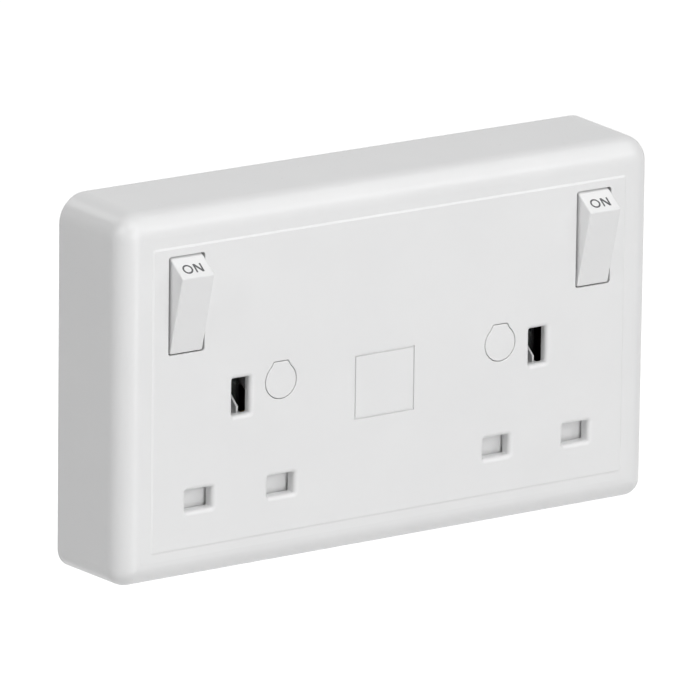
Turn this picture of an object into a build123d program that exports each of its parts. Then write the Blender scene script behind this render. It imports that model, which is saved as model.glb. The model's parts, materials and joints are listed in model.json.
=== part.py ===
from build123d import *
import os
from math import asin, atan2, cos, hypot, pi, radians, sin, tan

# Switched twin socket that turns a single wall box into two outlets.
# X runs to the right, Z up, and the front faces -Y. The wall plane is Y = 0.
# "Height" is the distance in front of the wall. Sizes are in millimetres, angles in degrees.

# Housing
body_width = 146.8
body_height = 86.7
body_depth = 25.0
upper_corner = 6.6
lower_corner = 4.8
least_corner = 0.5
front_round = 5.5
front_round_steps = 9
wall_draft = 1.2
wall = 2.5
plate = 2.9
inner_round = 1.5
panel_margin = 8.5
panel_low_margin = 7.9
panel_step = 0.2
panel_slope = 0.5
panel_corner = 0.6

# Square line left on the face by a mould insert
insert_width = 16.5
insert_height = 15.1
insert_x = -1.9
insert_z = -4.55
insert_line = 0.45
insert_depth = 0.4

# Pins and their slots
pin_pitch = 22.23
socket_spacing = 81.6
earth_drop = 2.15
earth_slot_width = 4.7
earth_slot_height = 8.5
line_slot_width = 7.2
line_slot_height = 4.8
slot_round = 1.1
slot_corner = 0.35
earth_relief = 0.75
earth_relief_side = 0.9
earth_pin_width = 4.0
earth_pin_height = 8.0
line_pin_height = 4.0

# Fixing screws to the wall box, and the caps that hide them
fixing_pitch = 60.3
fixing_radius = 2.1
head_room_radius = 3.6
head_room_depth = 4.0
post_radius = 4.2
post_head_wall = 1.8
post_step_length = 2.5
cap_radius = 4.1
cap_tab_base = 5.9
cap_tab_crown = 3.8
cap_tab_shoulder = 2.6
cap_tab_top = 4.4
cap_tab_round = 0.5
cap_edge_round = 0.2
cap_thickness = 1.9
cap_skirt_length = 1.6
cap_skirt_wall = 0.9
cap_gap = 0.18

# Rockers, tilted to ON at rest
rocker_edge_distance = 17.58
rocker_top_distance = 22.0
aperture_width = 9.72
aperture_height = 22.7
aperture_land = 0.6
aperture_flare = 1.0
aperture_corner = 0.7
rocker_side_gap = 0.55
rocker_flush_gap = 0.3
rocker_end_gap = 0.6
rocker_tilt = 14.4
rocker_wall = 1.5
rocker_skirt = 1.6
ridge_round = 0.45
rocker_edge_round = 0.35
pivot_depth = 5.05
trunnion_radius = 1.5
trunnion_length = 2.2
shoulder_radius = 2.3
shoulder_length = 0.4
ear_thickness = 1.8
ear_gap = 0.15
ear_half_height = 3.6
ear_reach = 3.2
ear_mouth = 2.5
stem_radius = 2.6
stem_reach = 5.4

# Plungers and their springs inside the rocker stems
plunger_radius = 1.35
plunger_reach = 8.0
plunger_length = 6.4
bore_above_pivot = 3.5
rocker_spring_wire = 0.35
rocker_spring_turns = 5

# See-saw contacts
seesaw_half_length = 9.9
seesaw_width = 4.4
seesaw_tilt = 9.6
trough_radius = 3.4
trough_depth = 0.9
nose_gap = 0.1
knife_gap = 0.05
prong_width = 1.1
prong_rise = 1.9
prong_gap = 0.15
contact_arm = 8.9
moving_tip_radius = 1.3
moving_tip_height = 0.9
moving_tip_dome = 3.0
fixed_tip_radius = 1.5
fixed_tip_height = 0.75
tip_gap = 0.05
seesaw_stop_length = 2.0
seesaw_stop_gap = 0.2

# Shutters and their springs
shutter_gap = 0.9
shutter_thickness = 1.8
shutter_overlap = 0.8
shutter_side_overlap = 1.2
shutter_arm_width = 5.0
shutter_arm_drop = 0.6
ramp_gap = 0.3
ramp_thickness = 0.5
ramp_offset = 0.9
ramp_angle = 40.0
ramp_start_rise = 1.1
ramp_crest_length = 0.7
ramp_back = 2.6
guide_gap = 0.3
guide_thickness = 1.2
guide_depth = 4.1
guide_above = 1.2
slide_rib_offset = 4.2
slide_rib_width = 1.0
slide_rib_gap = 0.1
stop_width = 7.0
stop_thickness = 1.2
spring_block_width = 6.0
spring_block_height = 5.6
spring_block_depth = 4.3
spring_peg_radius = 0.9
spring_peg_length = 1.6
shutter_spring_radius = 1.4
shutter_spring_wire = 0.4
shutter_spring_turns = 6
spring_seat_thickness = 1.2
spring_seat_inset = 2.9

# Rear base and its screws
base_recess = 0.4
base_thickness = 4.0
base_floor = 1.6
base_gap = 0.2
channel_gap = 0.2
channel_rib = 0.8
tower_thickness = 1.0
tower_gap = 0.3
boss_radius = 4.4
boss_merge = 0.2
cover_screw_radius = 1.4
cover_screw_length = 12.0
cover_head_radius = 2.6
cover_head_height = 1.7
cover_head_room = 0.3
driver_slot_width = 0.7
driver_slot_depth = 0.8

# Metalwork, pressed from one gauge of strip
gauge = 1.0
bar_width = 5.0
link_width = 3.0
shelf_width = 3.6
shelf_margin = 1.8
shelf_lip = 0.9
live_clip_width = 7.0
earth_bar_rise = 12.65
neutral_bar_rise = 9.4
clip_root_gap = 0.8
clip_grip = 0.25
clip_mouth_gap = 0.8
clip_leaf_gauge = 0.8
clip_root_height = 6.0
line_grip_height = 12.0
line_mouth_height = 15.0
earth_grip_height = 14.5
earth_mouth_height = 18.4
clip_inset = 0.3
earth_window_gap = 0.7
earth_foot_rim = 0.9
earth_clip_side = 1.9

# Terminals
terminal_width = 9.0
terminal_height = 8.0
terminal_depth = 9.0
terminal_bore_radius = 2.5
terminal_bore_depth = 6.5
terminal_bore_height = 5.8
terminal_screw_radius = 1.95
terminal_screw_length = 3.2
terminal_head_radius = 2.6
terminal_head_height = 2.0
terminal_side_offset = 13.0
window_width = 10.0
window_gap = 0.3
window_rim = 2.6
earth_window_rib = 1.2

running_clearance = 0.05
sliding_clearance = 0.07
seat_gap = 0.05
through = 1.0

# Levels in height above the wall
margin_level = body_depth - panel_step
plate_rear = body_depth - plate
cap_floor = body_depth - cap_thickness
screw_seat = cap_floor - head_room_depth
pivot_height = body_depth - pivot_depth
shutter_front = plate_rear - shutter_gap
shutter_rear = shutter_front - shutter_thickness
base_front = base_recess + base_thickness
bar_rear = base_recess + base_floor
bar_front = bar_rear + gauge

# Places on the face
sides = {"left": -1, "right": 1}
earth_z = -earth_drop
line_z = earth_z - pin_pitch
rocker_x = body_width / 2 - rocker_edge_distance
rocker_z = body_height / 2 - rocker_top_distance
inner_half_width = body_width / 2 - wall
inner_half_height = body_height / 2 - wall
inner_upper_corner = upper_corner - wall
inner_lower_corner = lower_corner - wall
boss_x = inner_half_width - boss_radius + boss_merge
boss_z = inner_half_height - boss_radius + boss_merge
boss_places = [(x, z) for x in (-boss_x, 0, boss_x) for z in (-boss_z, boss_z)]
fixing_x = fixing_pitch / 2

# Rocker outline seen from the side, about its pivot in the level position
rocker_width = aperture_width - 2 * rocker_side_gap
aperture_half = aperture_height / 2
tilt = radians(rocker_tilt)
lean = pivot_depth * sin(tilt) / cos(tilt)
rocker_face_half = (aperture_half - rocker_flush_gap - lean) * cos(tilt)
rocker_face_rise = (pivot_depth + rocker_face_half * sin(tilt)) / cos(tilt)
rocker_end_radius = hypot(aperture_half - rocker_end_gap, pivot_depth)
heel_angle = atan2(pivot_depth, aperture_half - rocker_end_gap) - tilt
skirt_angle = -asin(rocker_skirt / rocker_end_radius)

# See-saw pivot, on the knife edge of the live bar
fulcrum_height = pivot_height - plunger_reach - nose_gap - gauge
swing = radians(seesaw_tilt)
crown_offset = trough_depth - moving_tip_height
crown_height = fulcrum_height + crown_offset * cos(swing) - contact_arm * sin(swing)
crown_z = rocker_z + contact_arm * cos(swing) + crown_offset * sin(swing)
fixed_tip_front = crown_height - tip_gap - moving_tip_dome * (1 - cos(swing))
shelf_front = fixed_tip_front - fixed_tip_height
shelf_top = crown_z + fixed_tip_radius + shelf_margin

# Shutter travel and outline
shutter_top = line_z + line_slot_height / 2 + shutter_overlap
shutter_bottom = line_z - line_slot_height / 2 - shutter_overlap
shutter_travel = line_slot_height + shutter_overlap
shutter_half = pin_pitch / 2 + line_slot_width / 2 + shutter_side_overlap
shutter_arm_top = earth_z - earth_slot_height / 2 - shutter_arm_drop
spring_seat_top = -inner_half_height + spring_seat_inset
shutter_spring_length = shutter_bottom - spring_seat_top
spring_height = shutter_front - spring_block_depth / 2

# Metalwork places
earth_bar_z = earth_z + earth_bar_rise
neutral_bar_z = line_z + neutral_bar_rise
live_bar_half = rocker_x + seesaw_width / 2 + prong_gap + prong_width
foot_end = socket_spacing / 2 + pin_pitch / 2 + live_clip_width / 2
foot_half = line_pin_height / 2 + clip_root_gap + clip_leaf_gauge + clip_inset
channel_pitch = channel_rib + 2 * channel_gap
link_x = max(live_bar_half, foot_end) + channel_pitch + link_width
link_z = line_z - foot_half - channel_pitch - link_width

# Each terminal: X, the Z where its block meets the bar's tab, and the way the block lies from it
terminal_top = base_front + terminal_depth
terminal_seats = {
    "live": (-terminal_side_offset, rocker_z + bar_width / 2, 1),
    "neutral": (terminal_side_offset, neutral_bar_z - bar_width / 2, -1),
    "earth": (0.0, earth_bar_z - bar_width / 2, -1),
}
base_half_width = inner_half_width - base_gap
base_half_height = inner_half_height - base_gap
window_ends = {
    "live": base_half_height - window_rim,
    "neutral": -base_half_height + window_rim,
    "earth": neutral_bar_z + bar_width / 2 + channel_gap + earth_window_rib,
}


def slab(outline, low, high, taper=0.0):
    """Outline in X and Z, extruded between two heights above the wall."""
    return extrude(Plane.XZ.offset(low) * outline, amount=high - low, taper=taper)


def side_slab(outline, centre_x, width):
    """Outline in height and Z, extruded sideways about an X value."""
    plane = Plane(origin=(centre_x, 0, 0), x_dir=(0, -1, 0), z_dir=(-1, 0, 0))
    return extrude(plane * outline, amount=width / 2, both=True)


def top_slab(outline, centre_z, length):
    """Outline in X and height, extruded upwards about a Z value."""
    plane = Plane(origin=(0, 0, centre_z), x_dir=(1, 0, 0), z_dir=(0, 0, -1))
    return extrude(plane * outline, amount=length / 2, both=True)


def field(left, right, bottom, top):
    """Rectangle between two pairs of values."""
    return Pos((left + right) / 2, (bottom + top) / 2) * Rectangle(right - left, top - bottom)


def about(x, z, width, height):
    """Rectangle of a given size about a centre."""
    return Pos(x, z) * Rectangle(width, height)


def rounded_field(half_width, half_height, upper, lower):
    """Rectangle about the centre, with one radius at its upper corners and another at its lower ones."""
    outline = Rectangle(2 * half_width, 2 * half_height)
    outline = fillet(outline.vertices().group_by(Axis.Y)[-1], upper)
    return fillet(outline.vertices().group_by(Axis.Y)[0], lower)


def outline_through(*points):
    """Straight-sided outline through its corners, in order."""
    return make_face(Polyline(*points, close=True))


def peg(x, z, radius, low, high):
    """Round peg that points at the viewer, between two heights."""
    return slab(Pos(x, z) * Circle(radius), low, high)


def coil(mean_radius, wire, length, turns, start, direction):
    """Round-wire compression spring that fills a length from a start point."""
    centre = Vector(start) + Vector(direction) * (wire / 2)
    path = Helix((length - wire) / turns, length - wire, mean_radius, centre, direction)
    section = Plane(origin=path @ 0, z_dir=path % 0) * Circle(wire / 2)
    return sweep(section, path)


def pin_places(side):
    """Centres of one outlet's earth, neutral and live pins."""
    centre = sides[side] * socket_spacing / 2
    neutral = (centre - pin_pitch / 2, line_z)
    live = (centre + pin_pitch / 2, line_z)
    return (centre, earth_z), neutral, live


def front_section(turn):
    """Outline of the housing at the level where its front round has turned in by an angle."""
    level = margin_level - front_round * (1 - sin(turn))
    inset = level * tan(radians(wall_draft)) + front_round * (1 - cos(turn))
    upper = max(upper_corner - inset, least_corner)
    lower = max(lower_corner - inset, least_corner)
    outline = rounded_field(body_width / 2 - inset, body_height / 2 - inset, upper, lower)
    return Plane.XZ.offset(level) * outline


def housing_shell():
    """Drafted tray with a rounded front edge and a low raised panel."""
    foot = rounded_field(body_width / 2, body_height / 2, upper_corner, lower_corner)
    outer = slab(foot, 0, margin_level - front_round, wall_draft)
    turns = [step * pi / 2 / front_round_steps for step in range(front_round_steps + 1)]
    outer += loft([front_section(turn) for turn in turns])
    room = rounded_field(inner_half_width, inner_half_height, inner_upper_corner, inner_lower_corner)
    hollow = slab(room, 0, plate_rear, wall_draft)
    hollow = fillet(hollow.faces().sort_by(Axis.Y)[0].edges(), inner_round)
    panel_width = body_width - 2 * panel_margin
    panel_height = body_height - panel_margin - panel_low_margin
    panel_middle = Pos(0, (panel_low_margin - panel_margin) / 2)
    panel = loft([
        Plane.XZ.offset(level) * panel_middle
        * RectangleRounded(panel_width - 2 * inset, panel_height - 2 * inset, panel_corner)
        for level, inset in ((margin_level, 0), (body_depth, panel_slope))
    ])
    return outer + panel - hollow


def sunk(outline, cover, low, lip):
    """Cutter for a hole with a rounded rim: an outline from a level up to the face, flared into a cover."""
    cutter = slab(outline, low, body_depth) + slab(cover, body_depth, body_depth + through)
    underside = cutter.faces().filter_by(lambda face: len(face.inner_wires()) == 1)[0]
    return fillet(underside.inner_wires()[0].edges(), lip)


def pin_slot(place, width, height):
    """Pin slot through the plate, with a rounded mouth."""
    centre = Pos(*place)
    outline = centre * RectangleRounded(width, height, slot_corner)
    cover = centre * Rectangle(width + 4 * slot_round, height + 4 * slot_round)
    return sunk(outline, cover, plate_rear - through, slot_round)


def earth_pocket(place):
    """Relief behind an earth slot, which leaves a thinner wall round the pin."""
    x, z = place
    pocket = about(x, z, earth_slot_width + 2 * earth_relief_side, earth_slot_height + 2 * earth_relief_side)
    return slab(pocket, plate_rear, plate_rear + earth_relief)


def aperture(x):
    """Rocker aperture with rounded corners, flared towards the back at its ends."""
    rear = aperture_half + aperture_flare
    land = body_depth - aperture_land
    mouth = RectangleRounded(aperture_width, aperture_height, aperture_corner)
    cutter = slab(Pos(x, rocker_z) * mouth, land, body_depth + through)
    flare = outline_through(
        (land, -aperture_half),
        (plate_rear, -rear),
        (plate_rear, rear),
        (land, aperture_half),
    )
    return cutter + side_slab(Pos(0, rocker_z) * flare, x, aperture_width)


def ears(x):
    """Pair of bearing ears behind the plate, each with a snap mouth for a trunnion."""
    outline = field(pivot_height - ear_reach, plate_rear, -ear_half_height, ear_half_height)
    outline -= Pos(pivot_height, 0) * Circle(trunnion_radius + running_clearance)
    outline -= field(pivot_height - ear_reach, pivot_height, -ear_mouth / 2, ear_mouth / 2)
    offset_x = aperture_width / 2 + ear_gap + ear_thickness / 2
    outline = Pos(0, rocker_z) * outline
    return [side_slab(outline, x + offset_x * way, ear_thickness) for way in (-1, 1)]


def cap_outline():
    """Round cap with a tab at its top, whose sides lean in to a flat crown."""
    outline = Circle(cap_radius) + outline_through(
        (-cap_tab_base / 2, 0),
        (cap_tab_base / 2, 0),
        (cap_tab_base / 2, cap_tab_shoulder),
        (cap_tab_crown / 2, cap_tab_top),
        (-cap_tab_crown / 2, cap_tab_top),
        (-cap_tab_base / 2, cap_tab_shoulder),
    )
    corners = outline.vertices().filter_by(lambda corner: corner.Y > cap_tab_shoulder)
    return fillet(corners, cap_tab_round)


def shutter_guides(centre):
    """Side guides, slide ribs, upper stops and spring seat for one shutter, on the back of the plate."""
    guide_low = shutter_bottom - shutter_travel
    guide_base = plate_rear - guide_depth
    pieces = []
    for way in (-1, 1):
        guide_x = centre + way * (shutter_half + guide_gap + guide_thickness / 2)
        guide_mid = (guide_low + shutter_top + guide_above) / 2
        guide_length = shutter_top + guide_above - guide_low
        pieces.append(slab(about(guide_x, guide_mid, guide_thickness, guide_length), guide_base, plate_rear))
        stop_x = centre + way * pin_pitch / 2
        stop_z = shutter_top + guide_gap + stop_thickness / 2
        pieces.append(slab(about(stop_x, stop_z, stop_width, stop_thickness), shutter_rear, plate_rear))
        slide_rib = about(centre + way * slide_rib_offset, guide_mid, slide_rib_width, guide_length)
        pieces.append(slab(slide_rib, shutter_front + slide_rib_gap, plate_rear))
    seat_mid = spring_seat_top - seat_gap - spring_seat_thickness / 2
    seat = about(centre, seat_mid, spring_block_width, spring_seat_thickness)
    pieces.append(slab(seat, spring_height - spring_block_depth / 2, plate_rear))
    return pieces


def front_housing():
    """The visible moulding, with its posts, bosses, bearing ears and shutter guides."""
    form = housing_shell()
    form += [peg(x, z, boss_radius, base_front, plate_rear) for x, z in boss_places]
    form -= [
        peg(x, z, cover_screw_radius + running_clearance, base_front, base_front + cover_screw_length)
        for x, z in boss_places
    ]
    post_head_radius = head_room_radius + post_head_wall
    for way in sides.values():
        x = way * fixing_x
        form += peg(x, 0, post_radius, 0, plate_rear)
        form += peg(x, 0, post_head_radius, screw_seat - post_step_length, plate_rear)
        form -= peg(x, 0, fixing_radius, 0, body_depth)
        form -= peg(x, 0, head_room_radius, screw_seat, body_depth)
        recess = Pos(x, 0) * offset(cap_outline(), cap_gap)
        form -= sunk(recess, Pos(x, 0) * Circle(2 * cap_radius), cap_floor, cap_edge_round)
    for side, way in sides.items():
        form += ears(way * rocker_x)
        form -= aperture(way * rocker_x)
        form += shutter_guides(way * socket_spacing / 2)
        earth, neutral, live = pin_places(side)
        form -= earth_pocket(earth)
        form -= pin_slot(earth, earth_slot_width, earth_slot_height)
        form -= [pin_slot(place, line_slot_width, line_slot_height) for place in (neutral, live)]
    line = about(insert_x, insert_z, insert_width, insert_height)
    line -= about(insert_x, insert_z, insert_width - 2 * insert_line, insert_height - 2 * insert_line)
    return form - slab(line, body_depth - insert_depth, body_depth + through)


def screw_cap(way):
    """Push-in cap with a skirt that enters the screw-head room."""
    x = way * fixing_x
    skirt_radius = head_room_radius - cap_gap
    cap = slab(cap_outline(), cap_floor, body_depth)
    cap = fillet(cap.faces().sort_by(Axis.Y)[0].edges(), cap_edge_round)
    skirt = Circle(skirt_radius) - Circle(skirt_radius - cap_skirt_wall)
    cap += slab(skirt, cap_floor - cap_skirt_length, cap_floor)
    return Pos(x, 0, 0) * cap


def at_end(angle, sign):
    """Point on a rocker's rounded end, above or below its pivot."""
    return rocker_end_radius * sin(angle), sign * rocker_end_radius * cos(angle)


def rocker_outline():
    """Flat face, two leaning end facets and two ends rounded about the pivot."""
    top_ridge = (rocker_face_rise, rocker_face_half)
    low_ridge = (rocker_face_rise, -rocker_face_half)
    middle_angle = (heel_angle + skirt_angle) / 2
    edges = [Line(low_ridge, top_ridge)]
    for ridge, sign in ((top_ridge, 1), (low_ridge, -1)):
        heel = at_end(heel_angle, sign)
        edges.append(Line(ridge, heel))
        edges.append(ThreePointArc(heel, at_end(middle_angle, sign), at_end(skirt_angle, sign)))
    edges.append(Line(at_end(skirt_angle, 1), at_end(skirt_angle, -1)))
    face = make_face(edges)
    skirt_corners = 2
    return fillet(face.vertices().sort_by(Axis.X)[skirt_corners:], ridge_round)


def rocker_block(outline):
    """Solid rocker with its flanks' edges rounded, apart from those of the open back."""
    block = side_slab(outline, 0, rocker_width)
    rims = [edge for flank in block.faces().filter_by(Axis.X) for edge in flank.edges().sort_by(Axis.Y)[:-1]]
    return fillet(rims, rocker_edge_round)


def set_rocker(piece, way):
    """Move a piece from the level rocker's own place to the tilted rocker."""
    return Location((way * rocker_x, -pivot_height, rocker_z), (rocker_tilt, 0, 0)) * piece


def rocker(way):
    """Hollow rocker with trunnions, and a stem bored for the plunger."""
    outline = rocker_outline()
    hollow = offset(outline, -rocker_wall)
    mouth_half = (rocker_end_radius - rocker_wall) * cos(skirt_angle)
    hollow += field(-rocker_skirt - through, 0, -mouth_half, mouth_half)
    form = rocker_block(outline) - side_slab(hollow, 0, rocker_width - 2 * rocker_wall)
    form += peg(0, 0, stem_radius, -stem_reach, rocker_face_rise - rocker_wall / 2)
    form -= peg(0, 0, plunger_radius + sliding_clearance, -stem_reach, bore_above_pivot)
    flank = rocker_width / 2
    for sign in (-1, 1):
        shoulder_x = sign * (flank + shoulder_length / 2 - rocker_wall / 2)
        form += side_slab(Circle(shoulder_radius), shoulder_x, shoulder_length + rocker_wall)
        trunnion_x = sign * (flank + trunnion_length / 2)
        form += side_slab(Circle(trunnion_radius), trunnion_x, trunnion_length)
    return set_rocker(form, way)


def plunger(way):
    """Round pin with a ball nose, sliding in the rocker's stem."""
    nose = plunger_radius - plunger_reach
    form = peg(0, 0, plunger_radius, nose, plunger_length - plunger_reach)
    form += Pos(0, -nose, 0) * Sphere(plunger_radius)
    return set_rocker(form, way)


def rocker_spring(way):
    """Spring between the plunger and the blind end of the stem's bore."""
    start = plunger_length - plunger_reach + seat_gap
    length = bore_above_pivot - seat_gap - start
    mean_radius = plunger_radius - rocker_spring_wire
    form = coil(mean_radius, rocker_spring_wire, length, rocker_spring_turns, (0, -start, 0), (0, -1, 0))
    return set_rocker(form, way)


def set_seesaw(piece, way):
    """Move a piece from the level see-saw's own place to the tilted see-saw."""
    return Location((way * rocker_x, -fulcrum_height, rocker_z), (-seesaw_tilt, 0, 0)) * piece


def moving_contact(way):
    """Strip with a pressed trough that rocks on the knife edge."""
    front = trough_depth + gauge
    trough_centre = Pos(gauge + trough_radius, 0)
    outline = field(0, front, -trough_radius - gauge, trough_radius + gauge)
    outline &= trough_centre * Circle(trough_radius + gauge)
    outline += field(trough_depth, front, -seesaw_half_length, seesaw_half_length)
    outline -= trough_centre * Circle(trough_radius)
    return set_seesaw(side_slab(outline, 0, seesaw_width), way)


def moving_tip(way):
    """Domed contact on the back of the see-saw's upper arm."""
    tip = peg(0, contact_arm, moving_tip_radius, crown_offset, trough_depth)
    tip &= Pos(0, -crown_offset - moving_tip_dome, contact_arm) * Sphere(moving_tip_dome)
    return set_seesaw(tip, way)


def fixed_tip(way):
    """Flat contact on the shelf of a live contact."""
    return peg(way * rocker_x, crown_z, fixed_tip_radius, shelf_front, fixed_tip_front)


def leaf(pin_half, grip_height, mouth_height):
    """Spring leaf beside a pin: straight root, grip and flared mouth, as height against offset."""
    root = pin_half + clip_root_gap
    grip = pin_half - clip_grip
    mouth = pin_half + clip_mouth_gap
    inner = [(bar_rear, root), (clip_root_height, root), (grip_height, grip), (mouth_height, mouth)]
    outer = [(height, offset_out + clip_leaf_gauge) for height, offset_out in reversed(inner)]
    return inner + outer


def line_clip(x):
    """Pair of leaves above and below a live or neutral pin."""
    points = leaf(line_pin_height / 2, line_grip_height, line_mouth_height)
    width = live_clip_width - 2 * clip_inset
    upper = outline_through(*[(height, line_z + reach) for height, reach in points])
    lower = outline_through(*[(height, line_z - reach) for height, reach in points])
    return [side_slab(upper, x, width), side_slab(lower, x, width)]


def earth_clip(x):
    """Pair of leaves either side of an earth pin."""
    points = leaf(earth_pin_width / 2, earth_grip_height, earth_mouth_height)
    right = outline_through(*[(x + reach, height) for height, reach in points])
    left = outline_through(*[(x - reach, height) for height, reach in points])
    return [top_slab(right, earth_z, earth_pin_height), top_slab(left, earth_z, earth_pin_height)]


def clip_foot(x, reach):
    """Foot of a live or neutral clip, from below its leaves up or down to a strip."""
    low = min(line_z - foot_half, reach)
    high = max(line_z + foot_half, reach)
    return field(x - live_clip_width / 2, x + live_clip_width / 2, low, high)


def live_contact_plan(side):
    """Flat outline of the strip that links a switch to its live clip."""
    way = sides[side]
    live_x = pin_places(side)[2][0]
    outer = way * link_x
    inner = outer - way * link_width
    shelf_low = shelf_top - gauge - link_width
    tongue = way * (rocker_x - shelf_width / 2)
    plan = field(min(outer, tongue), max(outer, tongue), shelf_low, shelf_top)
    if side == "left":
        plan += field(outer, inner, link_z, shelf_top)
        plan += field(outer, live_x + live_clip_width / 2, link_z, link_z + link_width)
        plan += clip_foot(live_x, link_z)
    else:
        plan += field(inner, outer, line_z - link_width / 2, shelf_top)
        plan += field(live_x, outer, line_z - link_width / 2, line_z + link_width / 2)
        plan += clip_foot(live_x, line_z)
    return plan


def live_contact(side):
    """Live pin clip, its strip and the folded shelf of the fixed switch contact."""
    form = slab(live_contact_plan(side), bar_rear, bar_front)
    form += line_clip(pin_places(side)[2][0])
    riser = field(bar_rear, shelf_front, shelf_top - gauge, shelf_top)
    shelf_low = crown_z - fixed_tip_radius - shelf_lip
    riser += field(shelf_front - gauge, shelf_front, shelf_low, shelf_top)
    return form + side_slab(riser, sides[side] * rocker_x, shelf_width)


def live_bar_plan():
    """Flat outline of the live bar, from one fulcrum to the other."""
    return field(-live_bar_half, live_bar_half, rocker_z - bar_width / 2, rocker_z + bar_width / 2)


def fulcrum(way):
    """Upright knife edge with a prong on each side of the see-saw."""
    inner = seesaw_width / 2 + prong_gap
    outer = inner + prong_width
    knife = fulcrum_height - knife_gap
    outline = field(bar_rear, knife - gauge / 2, rocker_z - gauge / 2, rocker_z + gauge / 2)
    outline += Pos(knife - gauge / 2, rocker_z) * Circle(gauge / 2)
    form = side_slab(outline, way * rocker_x, 2 * outer)
    prong = field(bar_rear, fulcrum_height + prong_rise, rocker_z - gauge / 2, rocker_z + gauge / 2)
    for sign in (-1, 1):
        form += side_slab(prong, way * rocker_x + sign * (inner + outer) / 2, prong_width)
    return form


def terminal_tab(x, seat_z, way):
    """Tab of a bar, bent forwards beside its terminal block."""
    edge = seat_z - way * gauge
    tab = field(x - terminal_width / 2 + clip_inset, x + terminal_width / 2 - clip_inset,
                min(edge, seat_z), max(edge, seat_z))
    return slab(tab, bar_rear, terminal_top - gauge)


def live_bar():
    """Live bar with two fulcrums and the live terminal's tab."""
    form = slab(live_bar_plan(), bar_rear, bar_front)
    form += [fulcrum(way) for way in sides.values()]
    return form + terminal_tab(*terminal_seats["live"])


def neutral_bar_plan():
    """Flat outline of the neutral bar, with a foot for each clip."""
    places = [pin_places(side)[1][0] for side in sides]
    half = live_clip_width / 2
    low = neutral_bar_z - bar_width / 2
    plan = field(places[0] - half, places[1] + half, low, low + bar_width)
    for x in places:
        plan += clip_foot(x, neutral_bar_z)
    return plan


def neutral_bar():
    """Neutral bar with two pin clips and the neutral terminal's tab."""
    form = slab(neutral_bar_plan(), bar_rear, bar_front)
    for side in sides:
        form += line_clip(pin_places(side)[1][0])
    return form + terminal_tab(*terminal_seats["neutral"])


def earth_bar_plan():
    """Flat outline of the earth bar, with a windowed foot round each pin's tip."""
    clip_half = earth_pin_width / 2 + clip_root_gap + clip_leaf_gauge
    half = clip_half + earth_clip_side - clip_leaf_gauge
    top = earth_bar_z + bar_width / 2
    low = earth_z - earth_pin_height / 2 - earth_window_gap - earth_foot_rim
    reach = socket_spacing / 2 + half
    plan = field(-reach, reach, top - bar_width, top)
    window_half = clip_half - clip_leaf_gauge
    for way in sides.values():
        x = way * socket_spacing / 2
        plan += field(x - half, x + half, low, top)
        plan -= about(x, earth_z, 2 * window_half, earth_pin_height + 2 * earth_window_gap)
    return plan


def earth_bar():
    """Earth bar with two pin clips and the earth terminal's tab."""
    form = slab(earth_bar_plan(), bar_rear, bar_front)
    for way in sides.values():
        form += earth_clip(way * socket_spacing / 2)
    return form + terminal_tab(*terminal_seats["earth"])


def terminal_block(name):
    """Brass block with a blind conductor bore and a tapped screw hole."""
    x, seat_z, way = terminal_seats[name]
    mid = seat_z + way * terminal_height / 2
    mouth = seat_z + way * terminal_height
    block = slab(about(x, mid, terminal_width, terminal_height), base_front, terminal_top)
    bore_middle = mouth - way * terminal_bore_depth / 2
    bore = Pos(x, base_front + terminal_bore_height) * Circle(terminal_bore_radius)
    block -= top_slab(bore, bore_middle, terminal_bore_depth)
    hole_top = base_front + terminal_bore_height
    return block - peg(x, mid, terminal_screw_radius + running_clearance, base_front, hole_top)


def driver_slot(x, z, radius, low):
    """Straight driver slot across a screw head."""
    return slab(about(x, z, 2 * radius, driver_slot_width), low, low + driver_slot_depth)


def terminal_screws():
    """Three cheese-head screws, their heads towards the wall."""
    screws = []
    head_front = base_front - seat_gap
    for x, seat_z, way in terminal_seats.values():
        z = seat_z + way * terminal_height / 2
        screw = peg(x, z, terminal_head_radius, head_front - terminal_head_height, head_front)
        screw += peg(x, z, terminal_screw_radius, head_front, head_front + terminal_screw_length)
        slot_low = head_front - terminal_head_height
        screws.append(screw - driver_slot(x, z, terminal_head_radius, slot_low))
    return Compound(children=screws)


def cover_screws():
    """Six self-tapping screws that hold the rear base to the housing's bosses."""
    screws = []
    for x, z in boss_places:
        head_low = base_recess + cover_head_room
        head_front = head_low + cover_head_height
        tip = base_front + cover_screw_length - through
        screw = peg(x, z, cover_head_radius, head_low, head_front)
        screw += peg(x, z, cover_screw_radius, head_front, tip)
        screws.append(screw - driver_slot(x, z, cover_head_radius, head_low))
    return Compound(children=screws)


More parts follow.
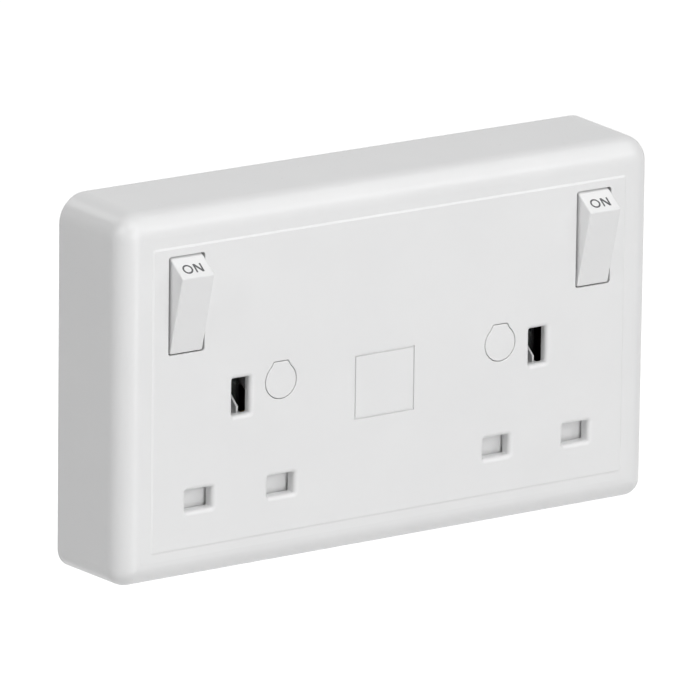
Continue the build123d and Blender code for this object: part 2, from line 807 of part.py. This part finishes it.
def shutter(side):
    """Shutter plate across both line slots, with the arm and ramp that the earth pin pushes down."""
    centre = sides[side] * socket_spacing / 2
    arm_half = shutter_arm_width / 2
    plan = field(centre - shutter_half, centre + shutter_half, shutter_bottom, shutter_top)
    plan += field(centre - arm_half, centre + arm_half, shutter_top, shutter_arm_top)
    form = slab(plan, shutter_rear, shutter_front)
    ramp_low = earth_z - earth_slot_height / 2 + ramp_start_rise
    crest = earth_z - earth_pin_height / 2 + shutter_travel - seat_gap
    ramp_run = (crest - ramp_low) * cos(radians(ramp_angle)) / sin(radians(ramp_angle))
    ramp_front = plate_rear - ramp_gap
    ramp_end = ramp_front - ramp_run
    rib = outline_through(
        (ramp_front, shutter_arm_top - shutter_thickness),
        (ramp_front, ramp_low),
        (ramp_end, crest),
        (ramp_end - ramp_crest_length, crest),
        (ramp_end - ramp_crest_length, crest - ramp_back),
        (shutter_rear, shutter_arm_top - shutter_thickness),
    )
    form += side_slab(rib, centre + ramp_offset, ramp_thickness)
    block_top = shutter_bottom + spring_block_height
    block = field(centre - spring_block_width / 2, centre + spring_block_width / 2, shutter_bottom, block_top)
    form += slab(block, shutter_front - spring_block_depth, shutter_front)
    peg_circle = Pos(centre, spring_height) * Circle(spring_peg_radius)
    return form + top_slab(peg_circle, shutter_bottom, 2 * spring_peg_length)


def shutter_spring(side):
    """Spring that holds a shutter up over its slots."""
    centre = sides[side] * socket_spacing / 2
    start = (centre, -spring_height, spring_seat_top)
    length = shutter_spring_length - seat_gap
    return coil(shutter_spring_radius, shutter_spring_wire, length, shutter_spring_turns, start, (0, 0, 1))


def shutter_towers():
    """Walls of the base that stop the shutters from moving back."""
    towers = []
    low = link_z + link_width + channel_pitch
    for way in sides.values():
        for sign in (-1, 1):
            x = way * socket_spacing / 2 + sign * (shutter_half - tower_thickness / 2)
            wall_plan = field(x - tower_thickness / 2, x + tower_thickness / 2, low, shutter_top)
            towers.append(slab(wall_plan, base_front, shutter_rear - tower_gap))
    return towers


def seesaw_stop(way):
    """Post of the base under the see-saw's lower arm, which meets it when the rocker is OFF."""
    outer = seesaw_half_length
    deepest = fulcrum_height + trough_depth * cos(swing) - outer * sin(swing) - seesaw_stop_gap
    z = rocker_z - outer * cos(swing) + seesaw_stop_length / 2
    return slab(about(way * rocker_x, z, seesaw_width, seesaw_stop_length), base_front, deepest)


def rear_base():
    """Dark moulding that closes the back, with channels for the bars and windows for the terminals."""
    outline = rounded_field(base_half_width, base_half_height, inner_upper_corner, inner_lower_corner)
    form = slab(outline, base_recess, base_front)
    plans = [live_bar_plan(), neutral_bar_plan(), earth_bar_plan()]
    plans += [live_contact_plan(side) for side in sides]
    for plan in plans:
        channel = offset(plan, channel_gap, kind=Kind.INTERSECTION)
        form -= slab(channel, bar_rear, base_front)
    for way in sides.values():
        x = way * socket_spacing / 2
        room_width = earth_pin_width + 2 * clip_root_gap
        room_height = earth_pin_height + 2 * earth_window_gap
        form -= slab(about(x, earth_z, room_width, room_height), bar_rear, base_front)
        form -= peg(way * fixing_x, 0, post_radius + base_gap, 0, base_front)
    for x, z in boss_places:
        form -= peg(x, z, cover_screw_radius + base_gap, 0, base_front)
        form -= peg(x, z, cover_head_radius + base_gap, 0, base_recess + cover_head_room + cover_head_height)
    for name, (x, seat_z, way) in terminal_seats.items():
        form -= peg(x, seat_z + way * terminal_height / 2, terminal_head_radius + base_gap, 0, base_front)
        mouth = seat_z + way * (terminal_height + window_gap)
        end = window_ends[name]
        window = field(x - window_width / 2, x + window_width / 2, min(mouth, end), max(mouth, end))
        form -= slab(window, 0, base_front)
    form += shutter_towers()
    return form + [seesaw_stop(way) for way in sides.values()]


pieces = {
    "front_housing": front_housing(),
    "rear_base": rear_base(),
    "live_bar": live_bar(),
    "neutral_bar": neutral_bar(),
    "earth_bar": earth_bar(),
    "terminal_screws": terminal_screws(),
    "cover_screws": cover_screws(),
}
for name in terminal_seats:
    pieces[f"{name}_terminal"] = terminal_block(name)
for side, way in sides.items():
    pieces[f"{side}_rocker"] = rocker(way)
    pieces[f"{side}_plunger"] = plunger(way)
    pieces[f"{side}_rocker_spring"] = rocker_spring(way)
    pieces[f"{side}_moving_contact"] = moving_contact(way)
    pieces[f"{side}_moving_tip"] = moving_tip(way)
    pieces[f"{side}_live_contact"] = live_contact(side)
    pieces[f"{side}_fixed_tip"] = fixed_tip(way)
    pieces[f"{side}_shutter"] = shutter(side)
    pieces[f"{side}_shutter_spring"] = shutter_spring(side)
    pieces[f"{side}_screw_cap"] = screw_cap(way)

os.makedirs("parts", exist_ok=True)
for name, piece in pieces.items():
    export_step(piece, f"parts/{name}.step")
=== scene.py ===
import json
from math import cos, radians, sin, tau

import bpy
import numpy as np
from mathutils import Matrix, Vector


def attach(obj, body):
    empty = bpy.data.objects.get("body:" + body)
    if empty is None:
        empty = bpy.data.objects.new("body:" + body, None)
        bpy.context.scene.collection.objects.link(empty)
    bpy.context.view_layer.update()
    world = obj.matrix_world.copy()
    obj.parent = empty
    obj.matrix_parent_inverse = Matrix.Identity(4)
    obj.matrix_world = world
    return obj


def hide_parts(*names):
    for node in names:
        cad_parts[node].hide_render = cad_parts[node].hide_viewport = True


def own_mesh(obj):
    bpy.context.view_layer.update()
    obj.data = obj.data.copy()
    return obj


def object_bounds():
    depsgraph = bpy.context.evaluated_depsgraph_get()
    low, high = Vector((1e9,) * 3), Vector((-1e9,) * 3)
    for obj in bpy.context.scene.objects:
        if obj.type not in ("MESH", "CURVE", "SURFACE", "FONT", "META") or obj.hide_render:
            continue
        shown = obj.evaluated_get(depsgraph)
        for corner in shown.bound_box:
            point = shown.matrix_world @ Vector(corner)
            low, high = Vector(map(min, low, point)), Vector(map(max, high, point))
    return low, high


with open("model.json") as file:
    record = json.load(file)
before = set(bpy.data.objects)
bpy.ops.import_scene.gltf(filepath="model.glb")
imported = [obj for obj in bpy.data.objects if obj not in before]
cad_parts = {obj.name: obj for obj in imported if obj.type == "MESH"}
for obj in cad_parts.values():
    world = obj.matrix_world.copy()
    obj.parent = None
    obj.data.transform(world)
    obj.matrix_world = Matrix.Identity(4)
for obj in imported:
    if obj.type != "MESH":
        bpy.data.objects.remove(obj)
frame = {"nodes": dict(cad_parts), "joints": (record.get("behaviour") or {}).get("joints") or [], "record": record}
cad_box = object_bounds()
nodes = frame["nodes"]
scene = bpy.context.scene

# Camera: its aim on the part, and where it stands as seen from there, in metres and degrees
camera_aim = Vector((-0.001844, -0.011243, -0.000099))
camera_distance = 2.32734
camera_heading = 34.966
camera_elevation = 15.085
camera_roll = 0.737
camera_lens_mm = 528.6
camera_sensor_mm = 36.0
camera_near = 0.1
camera_far = 20.0

# Softboxes: name, heading from the front to the right, elevation, distance, size and watts
softboxes = (
    ("far_left_softbox", -82.0, 34.0, 1.6, 0.8, 6.3),
    ("front_softbox", -9.0, 18.0, 1.6, 0.8, 6.8),
    ("low_front_softbox", -4.0, -7.0, 1.2, 0.36, 1.8),
    ("right_softbox", 38.0, 26.0, 1.6, 0.4, 2.6),
    ("top_front_softbox", 8.0, 46.0, 1.6, 0.8, 3.8),
    ("overhead_softbox", -26.0, 63.0, 1.4, 0.7, 3.8),
    ("upper_edge_softbox", 80.0, 55.0, 1.5, 0.35, 1.2),
    ("high_right_softbox", 54.0, 45.0, 1.6, 0.35, 1.4),
    ("rim_softbox", -162.0, 38.0, 1.6, 0.5, 1.8),
    ("back_softbox", 192.0, 0.0, 1.6, 0.6, 5.4),
)

# Studio: the world's light on the part and in view, and the floor below the part, in metres
fill_strength = 0.05
backdrop_strength = 1.0
backdrop_colour = (1.0, 1.0, 1.0, 1.0)
floor_drop = 0.30
floor_half = 6.0
floor_colour = (0.8, 0.8, 0.8, 1.0)
near_floor_glow = 0.74
far_floor_glow = 0.92
floor_glow_start = 0.5
floor_glow_stop = 1.0

# ON mark on a rocker's upper facet, in millimetres: across from its middle and up from its lower edge
millimetre = 0.001
mark_height = 2.42
mark_foot = 1.03
mark_stroke = 0.41
mark_proud = 0.02
mark_sunk = 0.01
letter_o_middle = -1.60
letter_o_width = 2.60
letter_o_overshoot = 0.07
letter_n_left = 0.20
letter_n_width = 2.10
letter_n_slant = 0.50
ring_steps = 96

# Upper facet: how far up and forwards it faces at least, how closely its triangles agree, and the least area
facet_rise = 0.5
facet_lean = 0.4
facet_agreement = 0.9999
least_area = 1e-15

# Springs: wire in millimetres and turns, and the steps of their meshes
rocker_spring_wire = 0.35
rocker_spring_turns = 5
shutter_spring_wire = 0.40
shutter_spring_turns = 6
steps_per_turn = 40
wire_sides = 12
width_axis = np.array((1.0, 0.0, 0.0))

# Textures: octaves of detail, weight of the finer octaves, and the part of the range that a colour runs over
plain_detail = 2.0
rich_detail = 3.0
soft_weight = 0.5
skin_weight = 0.6
speck_weight = 0.7
colour_span = (0.35, 0.65)
speck_span = (0.40, 0.75)

# White mouldings: share of the usual surface reflection, grains to the metre and relief in metres
white_reflectance = 0.35
cloud_grains = 45.0
skin_roughness_spread = (-0.02, 0.03)
skin_depth = 0.00003
skin_strength = 0.03

# Dark moulding and ink: grains to the metre, roughness and relief in metres
speck_grains = 2600.0
speck_roughness = (0.42, 0.60)
speck_depth = 0.00005
speck_strength = 0.25
ink_grains = 5000.0
ink_roughness = (0.45, 0.60)

# Metal: grains to the metre, relief in metres and the stretch of its streaks along the three axes
tone_grains = 120.0
streak_roughness_spread = (-0.08, 0.10)
streak_depth = 0.00002
streak_strength = 0.15
even = (1.0, 1.0, 1.0)
along_width = (1.0, 12.0, 12.0)
along_height = (14.0, 14.0, 1.0)

# Colours: the dark and the light end of each, as linear red, green and blue
white_colours = ((0.800, 0.801, 0.803), (0.815, 0.816, 0.817))
switch_colours = ((0.805, 0.806, 0.808), (0.818, 0.819, 0.820))
cream_colours = ((0.700, 0.690, 0.640), (0.740, 0.730, 0.680))
filler_colours = ((0.022, 0.022, 0.024), (0.060, 0.060, 0.064))
ink_colours = ((0.055, 0.056, 0.060), (0.090, 0.091, 0.096))
brass_colours = ((0.60, 0.42, 0.17), (0.72, 0.53, 0.25))
terminal_colours = ((0.62, 0.44, 0.18), (0.74, 0.55, 0.27))
silver_colours = ((0.72, 0.72, 0.70), (0.84, 0.84, 0.82))
steel_colours = ((0.36, 0.37, 0.39), (0.50, 0.51, 0.53))
screw_colours = ((0.40, 0.41, 0.42), (0.54, 0.55, 0.56))
plating_colours = ((0.24, 0.26, 0.25), (0.36, 0.38, 0.37))

# White mouldings by name: colours, roughness and grains of skin to the metre
white_mouldings = {
    "white_shell": (white_colours, 0.28, 1500.0),
    "white_switch": (switch_colours, 0.28, 1800.0),
    "white_cap": (white_colours, 0.28, 1500.0),
    "white_shutter": (white_colours, 0.36, 1500.0),
    "pale_plunger": (cream_colours, 0.40, 1200.0),
}

# Metals by name: colours, roughness, stretch of the streaks and streaks to the metre
metals = {
    "brass": (brass_colours, 0.30, along_width, 900.0),
    "terminal_brass": (terminal_colours, 0.26, along_height, 800.0),
    "silver": (silver_colours, 0.34, even, 3000.0),
    "spring_steel": (steel_colours, 0.28, even, 4000.0),
    "plated_screw": (screw_colours, 0.40, even, 3500.0),
    "earth_plating": (plating_colours, 0.24, along_height, 800.0),
}

# Nodes whose finish isn't that of their slot
node_finishes = {"earth_bar": "earth_plating"}


def finish(name):
    """New procedural material, with its node tree and its shader."""
    material = bpy.data.materials.new(name)
    material.use_nodes = True
    tree = material.node_tree
    return material, tree, tree.nodes["Principled BSDF"]


def place(tree, stretch=even):
    """Object coordinates, stretched along the three axes."""
    coordinates = tree.nodes.new("ShaderNodeTexCoord")
    mapping = tree.nodes.new("ShaderNodeMapping")
    mapping.inputs["Scale"].default_value = stretch
    tree.links.new(coordinates.outputs["Object"], mapping.inputs["Vector"])
    return mapping.outputs["Vector"]


def noise(tree, vector, per_metre, detail, weight=soft_weight):
    """Grey noise with about this many grains to the metre."""
    node = tree.nodes.new("ShaderNodeTexNoise")
    node.inputs["Scale"].default_value = per_metre
    node.inputs["Detail"].default_value = detail
    node.inputs["Roughness"].default_value = weight
    tree.links.new(vector, node.inputs["Vector"])
    return node.outputs["Fac"]


def between(tree, fac, low, high):
    """Number that runs from low to high as a texture runs from 0 to 1."""
    node = tree.nodes.new("ShaderNodeMapRange")
    node.inputs["To Min"].default_value = low
    node.inputs["To Max"].default_value = high
    tree.links.new(fac, node.inputs["Value"])
    return node.outputs["Result"]


def tint(tree, fac, colours, span=colour_span):
    """Colour that runs from dark to light over part of a texture's range."""
    node = tree.nodes.new("ShaderNodeValToRGB")
    for element, position, colour in zip(node.color_ramp.elements, span, colours):
        element.position = position
        element.color = (*colour, 1.0)
    tree.links.new(fac, node.inputs["Fac"])
    return node.outputs["Color"]


def relief(tree, shader, height, depth, strength):
    """Fine relief of a given depth in metres on the shader's normal."""
    node = tree.nodes.new("ShaderNodeBump")
    node.inputs["Strength"].default_value = strength
    node.inputs["Distance"].default_value = depth
    tree.links.new(height, node.inputs["Height"])
    tree.links.new(node.outputs["Normal"], shader.inputs["Normal"])


def moulded_white(name, colours, roughness, skin_grains):
    """White moulding: faint cloudiness in the colour, an uneven gloss and a fine skin."""
    material, tree, shader = finish(name)
    shader.inputs["Specular IOR Level"].default_value = white_reflectance
    vector = place(tree)
    cloud = noise(tree, vector, cloud_grains, rich_detail)
    tree.links.new(tint(tree, cloud, colours), shader.inputs["Base Color"])
    skin = noise(tree, vector, skin_grains, rich_detail, skin_weight)
    low, high = (roughness + spread for spread in skin_roughness_spread)
    tree.links.new(between(tree, skin, low, high), shader.inputs["Roughness"])
    relief(tree, shader, skin, skin_depth, skin_strength)
    return material


def moulded_dark(name):
    """Dark phenolic moulding with pale specks of filler."""
    material, tree, shader = finish(name)
    speck = noise(tree, place(tree), speck_grains, plain_detail, speck_weight)
    tree.links.new(tint(tree, speck, filler_colours, speck_span), shader.inputs["Base Color"])
    tree.links.new(between(tree, speck, *speck_roughness), shader.inputs["Roughness"])
    relief(tree, shader, speck, speck_depth, speck_strength)
    return material


def metal(name, colours, roughness, stretch, streaks):
    """Metal with rolling or drawing streaks along one axis and a slow change of tone."""
    material, tree, shader = finish(name)
    shader.inputs["Metallic"].default_value = 1.0
    tone = noise(tree, place(tree), tone_grains, rich_detail)
    tree.links.new(tint(tree, tone, colours), shader.inputs["Base Color"])
    streak = noise(tree, place(tree, stretch), streaks, rich_detail, skin_weight)
    low, high = (roughness + spread for spread in streak_roughness_spread)
    tree.links.new(between(tree, streak, low, high), shader.inputs["Roughness"])
    relief(tree, shader, streak, streak_depth, streak_strength)
    return material


def printed_grey(name):
    """Pad-printed grey ink, thinner in places."""
    material, tree, shader = finish(name)
    patch = noise(tree, place(tree), ink_grains, plain_detail)
    tree.links.new(tint(tree, patch, ink_colours), shader.inputs["Base Color"])
    tree.links.new(between(tree, patch, *ink_roughness), shader.inputs["Roughness"])
    return material


finishes = {name: moulded_white(name, *values) for name, values in white_mouldings.items()}
finishes["dark_base"] = moulded_dark("dark_base")
finishes.update({name: metal(name, *values) for name, values in metals.items()})
mark_ink = printed_grey("mark_ink")

for subpart in frame["record"]["subparts"]:
    part_name = subpart["node"]
    looks = nodes[part_name].data.materials
    looks.clear()
    looks.append(finishes[node_finishes.get(part_name, subpart["material_slot"])])


def piece(name, points, faces, material, body, smooth=False):
    """Mesh piece from points in metres, riding on a body."""
    mesh = bpy.data.meshes.new(name)
    mesh.from_pydata(points.tolist(), [], faces)
    mesh.polygons.foreach_set("use_smooth", np.full(len(mesh.polygons), smooth))
    mesh.update()
    obj = bpy.data.objects.new(name, mesh)
    scene.collection.objects.link(obj)
    mesh.materials.append(material)
    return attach(obj, body)


def node_points(node):
    """Vertices of a CAD node in the part's own frame, in metres."""
    mesh = nodes[node].data
    points = np.empty(len(mesh.vertices) * 3)
    mesh.vertices.foreach_get("co", points)
    world = np.array(nodes[node].matrix_world)
    return points.reshape(-1, 3) @ world[:3, :3].T + world[:3, 3]


def upper_facet(node):
    """Origin and axes of a rocker's upper facet.

    The origin is the middle of its lower edge, and the axes run across, up the facet and outwards. The facet
    is every triangle whose normal agrees with that of the largest triangle facing up and forwards.
    """
    mesh = nodes[node].data
    corners = np.empty(len(mesh.loops), dtype=np.int32)
    mesh.loops.foreach_get("vertex_index", corners)
    triangles = node_points(node)[corners.reshape(-1, 3)]
    areas = np.cross(triangles[:, 1] - triangles[:, 0], triangles[:, 2] - triangles[:, 0])
    sizes = np.linalg.norm(areas, axis=1)
    normals = areas / np.maximum(sizes, least_area)[:, None]
    upward = (normals[:, 2] > facet_rise) & (normals[:, 1] < -facet_lean)
    outward = normals[np.argmax(np.where(upward, sizes, 0.0))]
    facet = triangles[normals @ outward > facet_agreement].reshape(-1, 3)
    up = np.cross(outward, width_axis)
    middle = (facet[:, 0].min() + facet[:, 0].max()) / 2
    lowest = facet[np.argmin(facet @ up)]
    return np.array((middle, lowest[1], lowest[2])), np.array((width_axis, up, outward))


def wrapped_quads(rows, columns, closed):
    """Quads of a grid whose columns close on themselves, and whose rows do too where asked."""
    row_starts = np.arange(rows if closed else rows - 1)
    row, column = np.meshgrid(row_starts, np.arange(columns), indexing="ij")
    next_row, next_column = (row + 1) % rows, (column + 1) % columns
    corners = (row * columns + column, row * columns + next_column,
               next_row * columns + next_column, next_row * columns + column)
    return np.stack(corners, axis=-1).reshape(-1, 4).tolist()


def raised(outline):
    """Closed outline in millimetres as a low prism: its points at two levels, then its walls and lids."""
    count = len(outline)
    step = np.arange(count)
    ahead = np.roll(step, -1)
    levels = (-mark_sunk, mark_proud)
    points = np.vstack([np.column_stack([outline, np.full(count, level)]) for level in levels])
    walls = np.column_stack([step, ahead, ahead + count, step + count])
    return points, walls.tolist() + [(step + count).tolist(), step[::-1].tolist()]


def letter_n():
    """Two stems and a slanting stroke, as one ten-cornered outline that runs anticlockwise."""
    left, right = letter_n_left, letter_n_left + letter_n_width
    foot, top = mark_foot, mark_foot + mark_height
    slant_drop = mark_height * letter_n_slant / (letter_n_width - letter_n_slant)
    return np.array([
        (left, foot), (left + mark_stroke, foot),
        (left + mark_stroke, top - slant_drop), (right - letter_n_slant, foot),
        (right, foot), (right, top),
        (right - mark_stroke, top), (right - mark_stroke, foot + slant_drop),
        (left + letter_n_slant, top), (left, top),
    ])


def letter_o():
    """Flat ring between two ellipses a stroke apart: the corners of its section, carried round the turn."""
    turn = np.linspace(0.0, tau, ring_steps, endpoint=False)
    half_width, half_height = letter_o_width / 2, mark_height / 2 + letter_o_overshoot
    inset = np.array((0.0, 0.0, mark_stroke, mark_stroke))[:, None]
    level = np.array((-mark_sunk, mark_proud, mark_proud, -mark_sunk))[:, None]
    across = letter_o_middle + (half_width - inset) * np.cos(turn)
    upward = mark_foot + mark_height / 2 + (half_height - inset) * np.sin(turn)
    points = np.stack([across, upward, np.broadcast_to(level, across.shape)], axis=-1).reshape(-1, 3)
    return points, wrapped_quads(len(inset), ring_steps, closed=True)


def on_mark(side):
    """Letters O and N printed on a rocker's upper facet."""
    node = f"{side}_rocker"
    origin, axes = upper_facet(node)
    ring, ring_faces = letter_o()
    strokes, stroke_faces = raised(letter_n())
    faces = ring_faces + [[corner + len(ring) for corner in face] for face in stroke_faces]
    points = origin + np.vstack([ring, strokes]) * millimetre @ axes
    piece(f"{side}_on_mark", points, faces, mark_ink, node)


def unit(rows):
    """Vectors scaled to a length of one."""
    return rows / np.linalg.norm(rows, axis=-1, keepdims=True)


def wire_spring(node, joint_name, body, wire, turns):
    """Round wire carried along a helix, in the place of a rigid coil.

    The path is a circle about the joint's axis, with a steady rise along it. The wire's section is a circle
    across the path, set out along the direction to the axis and along the one square to that and to the path.
    """
    joint = next(entry for entry in frame["joints"] if entry["name"] == joint_name)
    axis = unit(np.array(joint["axis"], dtype=float))
    third = np.cross(axis, width_axis)
    points = node_points(node) @ np.column_stack([width_axis, third, axis])
    low, high = points.min(axis=0), points.max(axis=0)
    middle, extent = (low + high) / 2, high - low
    half_wire = wire * millimetre / 2
    radius = extent[0] / 2 - half_wire
    rise = extent[2] - 2 * half_wire
    share = np.linspace(0.0, 1.0, turns * steps_per_turn + 1)[:, None]
    angle = tau * turns * share
    level = low[2] + half_wire + share * rise
    outward = np.cos(angle) * width_axis + np.sin(angle) * third
    path = middle[0] * width_axis + middle[1] * third + level * axis + radius * outward
    sideways = np.cos(angle) * third - np.sin(angle) * width_axis
    ahead = unit(radius * tau * turns * sideways + rise * axis)
    square = np.cross(ahead, -outward)
    turn = np.linspace(0.0, tau, wire_sides, endpoint=False)[None, :, None]
    ring = np.sin(turn) * square[:, None] - np.cos(turn) * outward[:, None]
    surface = (path[:, None] + half_wire * ring).reshape(-1, 3)
    faces = wrapped_quads(len(path), wire_sides, closed=False)
    end = np.arange(wire_sides)
    faces += [end[::-1].tolist(), (end + (len(path) - 1) * wire_sides).tolist()]
    steel = finishes["spring_steel"]
    spring = piece(f"{node}_wire", surface, faces, steel, body, smooth=True)
    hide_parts(node)
    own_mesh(spring)


def photo_camera():
    """Camera that looks at its aim from a heading and an elevation, rolled about its own axis."""
    heading, elevation, roll = radians(camera_heading), radians(camera_elevation), radians(camera_roll)
    forward = Vector((sin(heading) * cos(elevation), cos(heading) * cos(elevation), -sin(elevation)))
    level = Vector((cos(heading), -sin(heading), 0.0))
    upright = level.cross(forward)
    right = cos(roll) * level + sin(roll) * upright
    up = cos(roll) * upright - sin(roll) * level
    data = bpy.data.cameras.new("camera")
    data.lens, data.sensor_width = camera_lens_mm, camera_sensor_mm
    data.clip_start, data.clip_end = camera_near, camera_far
    camera = bpy.data.objects.new("camera", data)
    turn = Matrix((right, up, -forward)).transposed().to_4x4()
    camera.matrix_world = Matrix.Translation(camera_aim - camera_distance * forward) @ turn
    scene.collection.objects.link(camera)
    scene.camera = camera


def softbox(name, heading, elevation, distance, size, watts):
    """Square soft light that faces the part from a heading and an elevation."""
    heading, elevation = radians(heading), radians(elevation)
    away = Vector((sin(heading) * cos(elevation), -cos(heading) * cos(elevation), sin(elevation)))
    data = bpy.data.lights.new(name, "AREA")
    data.size, data.energy = size, watts
    light = bpy.data.objects.new(name, data)
    light.location = away * distance
    light.rotation_mode = "QUATERNION"
    light.rotation_quaternion = away.to_track_quat("Z", "Y")
    scene.collection.objects.link(light)


def seen_directly(tree):
    """1 on rays that come from the camera, a mirror or a lens, 0 on the rest."""
    path = tree.nodes.new("ShaderNodeLightPath")
    add = tree.nodes.new("ShaderNodeMath")
    add.operation = "ADD"
    tree.links.new(path.outputs["Is Camera Ray"], add.inputs[0])
    tree.links.new(path.outputs["Is Glossy Ray"], add.inputs[1])
    both = tree.nodes.new("ShaderNodeMath")
    both.operation = "ADD"
    both.use_clamp = True
    tree.links.new(add.outputs[0], both.inputs[0])
    tree.links.new(path.outputs["Is Transmission Ray"], both.inputs[1])
    return both.outputs[0]


def studio_world():
    """Even grey fill for the part, and a white backdrop where it is seen directly."""
    world = bpy.data.worlds.new("studio")
    world.use_nodes = True
    scene.world = world
    tree = world.node_tree
    background = tree.nodes["Background"]
    background.inputs["Color"].default_value = backdrop_colour
    strength = between(tree, seen_directly(tree), fill_strength, backdrop_strength)
    tree.links.new(strength, background.inputs["Strength"])


def floor_glow(tree):
    """Glow of the floor where it is seen directly, which rises smoothly with the distance from the part."""
    distance = tree.nodes.new("ShaderNodeVectorMath")
    distance.operation = "LENGTH"
    tree.links.new(place(tree), distance.inputs[0])
    rise = tree.nodes.new("ShaderNodeMapRange")
    rise.interpolation_type = "SMOOTHSTEP"
    rise.inputs["From Min"].default_value = floor_glow_start
    rise.inputs["From Max"].default_value = floor_glow_stop
    rise.inputs["To Min"].default_value = near_floor_glow
    rise.inputs["To Max"].default_value = far_floor_glow
    tree.links.new(distance.outputs["Value"], rise.inputs["Value"])
    seen = tree.nodes.new("ShaderNodeMath")
    seen.operation = "MULTIPLY"
    tree.links.new(rise.outputs["Result"], seen.inputs[0])
    tree.links.new(seen_directly(tree), seen.inputs[1])
    return seen.outputs[0]


def floor_finish():
    """Matt floor with its glow on the upper side, and nothing on the lower side."""
    material, tree, shader = finish("studio_floor")
    tree.nodes.remove(shader)
    matt = tree.nodes.new("ShaderNodeBsdfDiffuse")
    matt.inputs["Color"].default_value = floor_colour
    glow = tree.nodes.new("ShaderNodeEmission")
    tree.links.new(floor_glow(tree), glow.inputs["Strength"])
    both = tree.nodes.new("ShaderNodeAddShader")
    tree.links.new(matt.outputs[0], both.inputs[0])
    tree.links.new(glow.outputs[0], both.inputs[1])
    clear = tree.nodes.new("ShaderNodeBsdfTransparent")
    facing = tree.nodes.new("ShaderNodeNewGeometry")
    choice = tree.nodes.new("ShaderNodeMixShader")
    tree.links.new(facing.outputs["Backfacing"], choice.inputs["Fac"])
    tree.links.new(both.outputs[0], choice.inputs[1])
    tree.links.new(clear.outputs[0], choice.inputs[2])
    tree.links.new(choice.outputs[0], tree.nodes["Material Output"].inputs["Surface"])
    return material


def studio_floor():
    """Pale floor below the part: it keeps shadows, looks white to the camera and is open from below."""
    level = cad_box[0].z - floor_drop
    corners = [(-floor_half, -floor_half, level), (floor_half, -floor_half, level),
               (floor_half, floor_half, level), (-floor_half, floor_half, level)]
    mesh = bpy.data.meshes.new("studio_floor")
    mesh.from_pydata(corners, [], [(0, 1, 2, 3)])
    mesh.materials.append(floor_finish())
    floor = bpy.data.objects.new("studio_floor", mesh)
    scene.collection.objects.link(floor)


on_mark("left")
on_mark("right")
for side in ("left", "right"):
    wire_spring(f"{side}_rocker_spring", f"{side}_plunger_slide", f"{side}_rocker",
                rocker_spring_wire, rocker_spring_turns)
    wire_spring(f"{side}_shutter_spring", f"{side}_shutter_slide", "housing",
                shutter_spring_wire, shutter_spring_turns)

photo_camera()
studio_world()
studio_floor()
for values in softboxes:
    softbox(*values)
scene.view_settings.view_transform = "Standard"
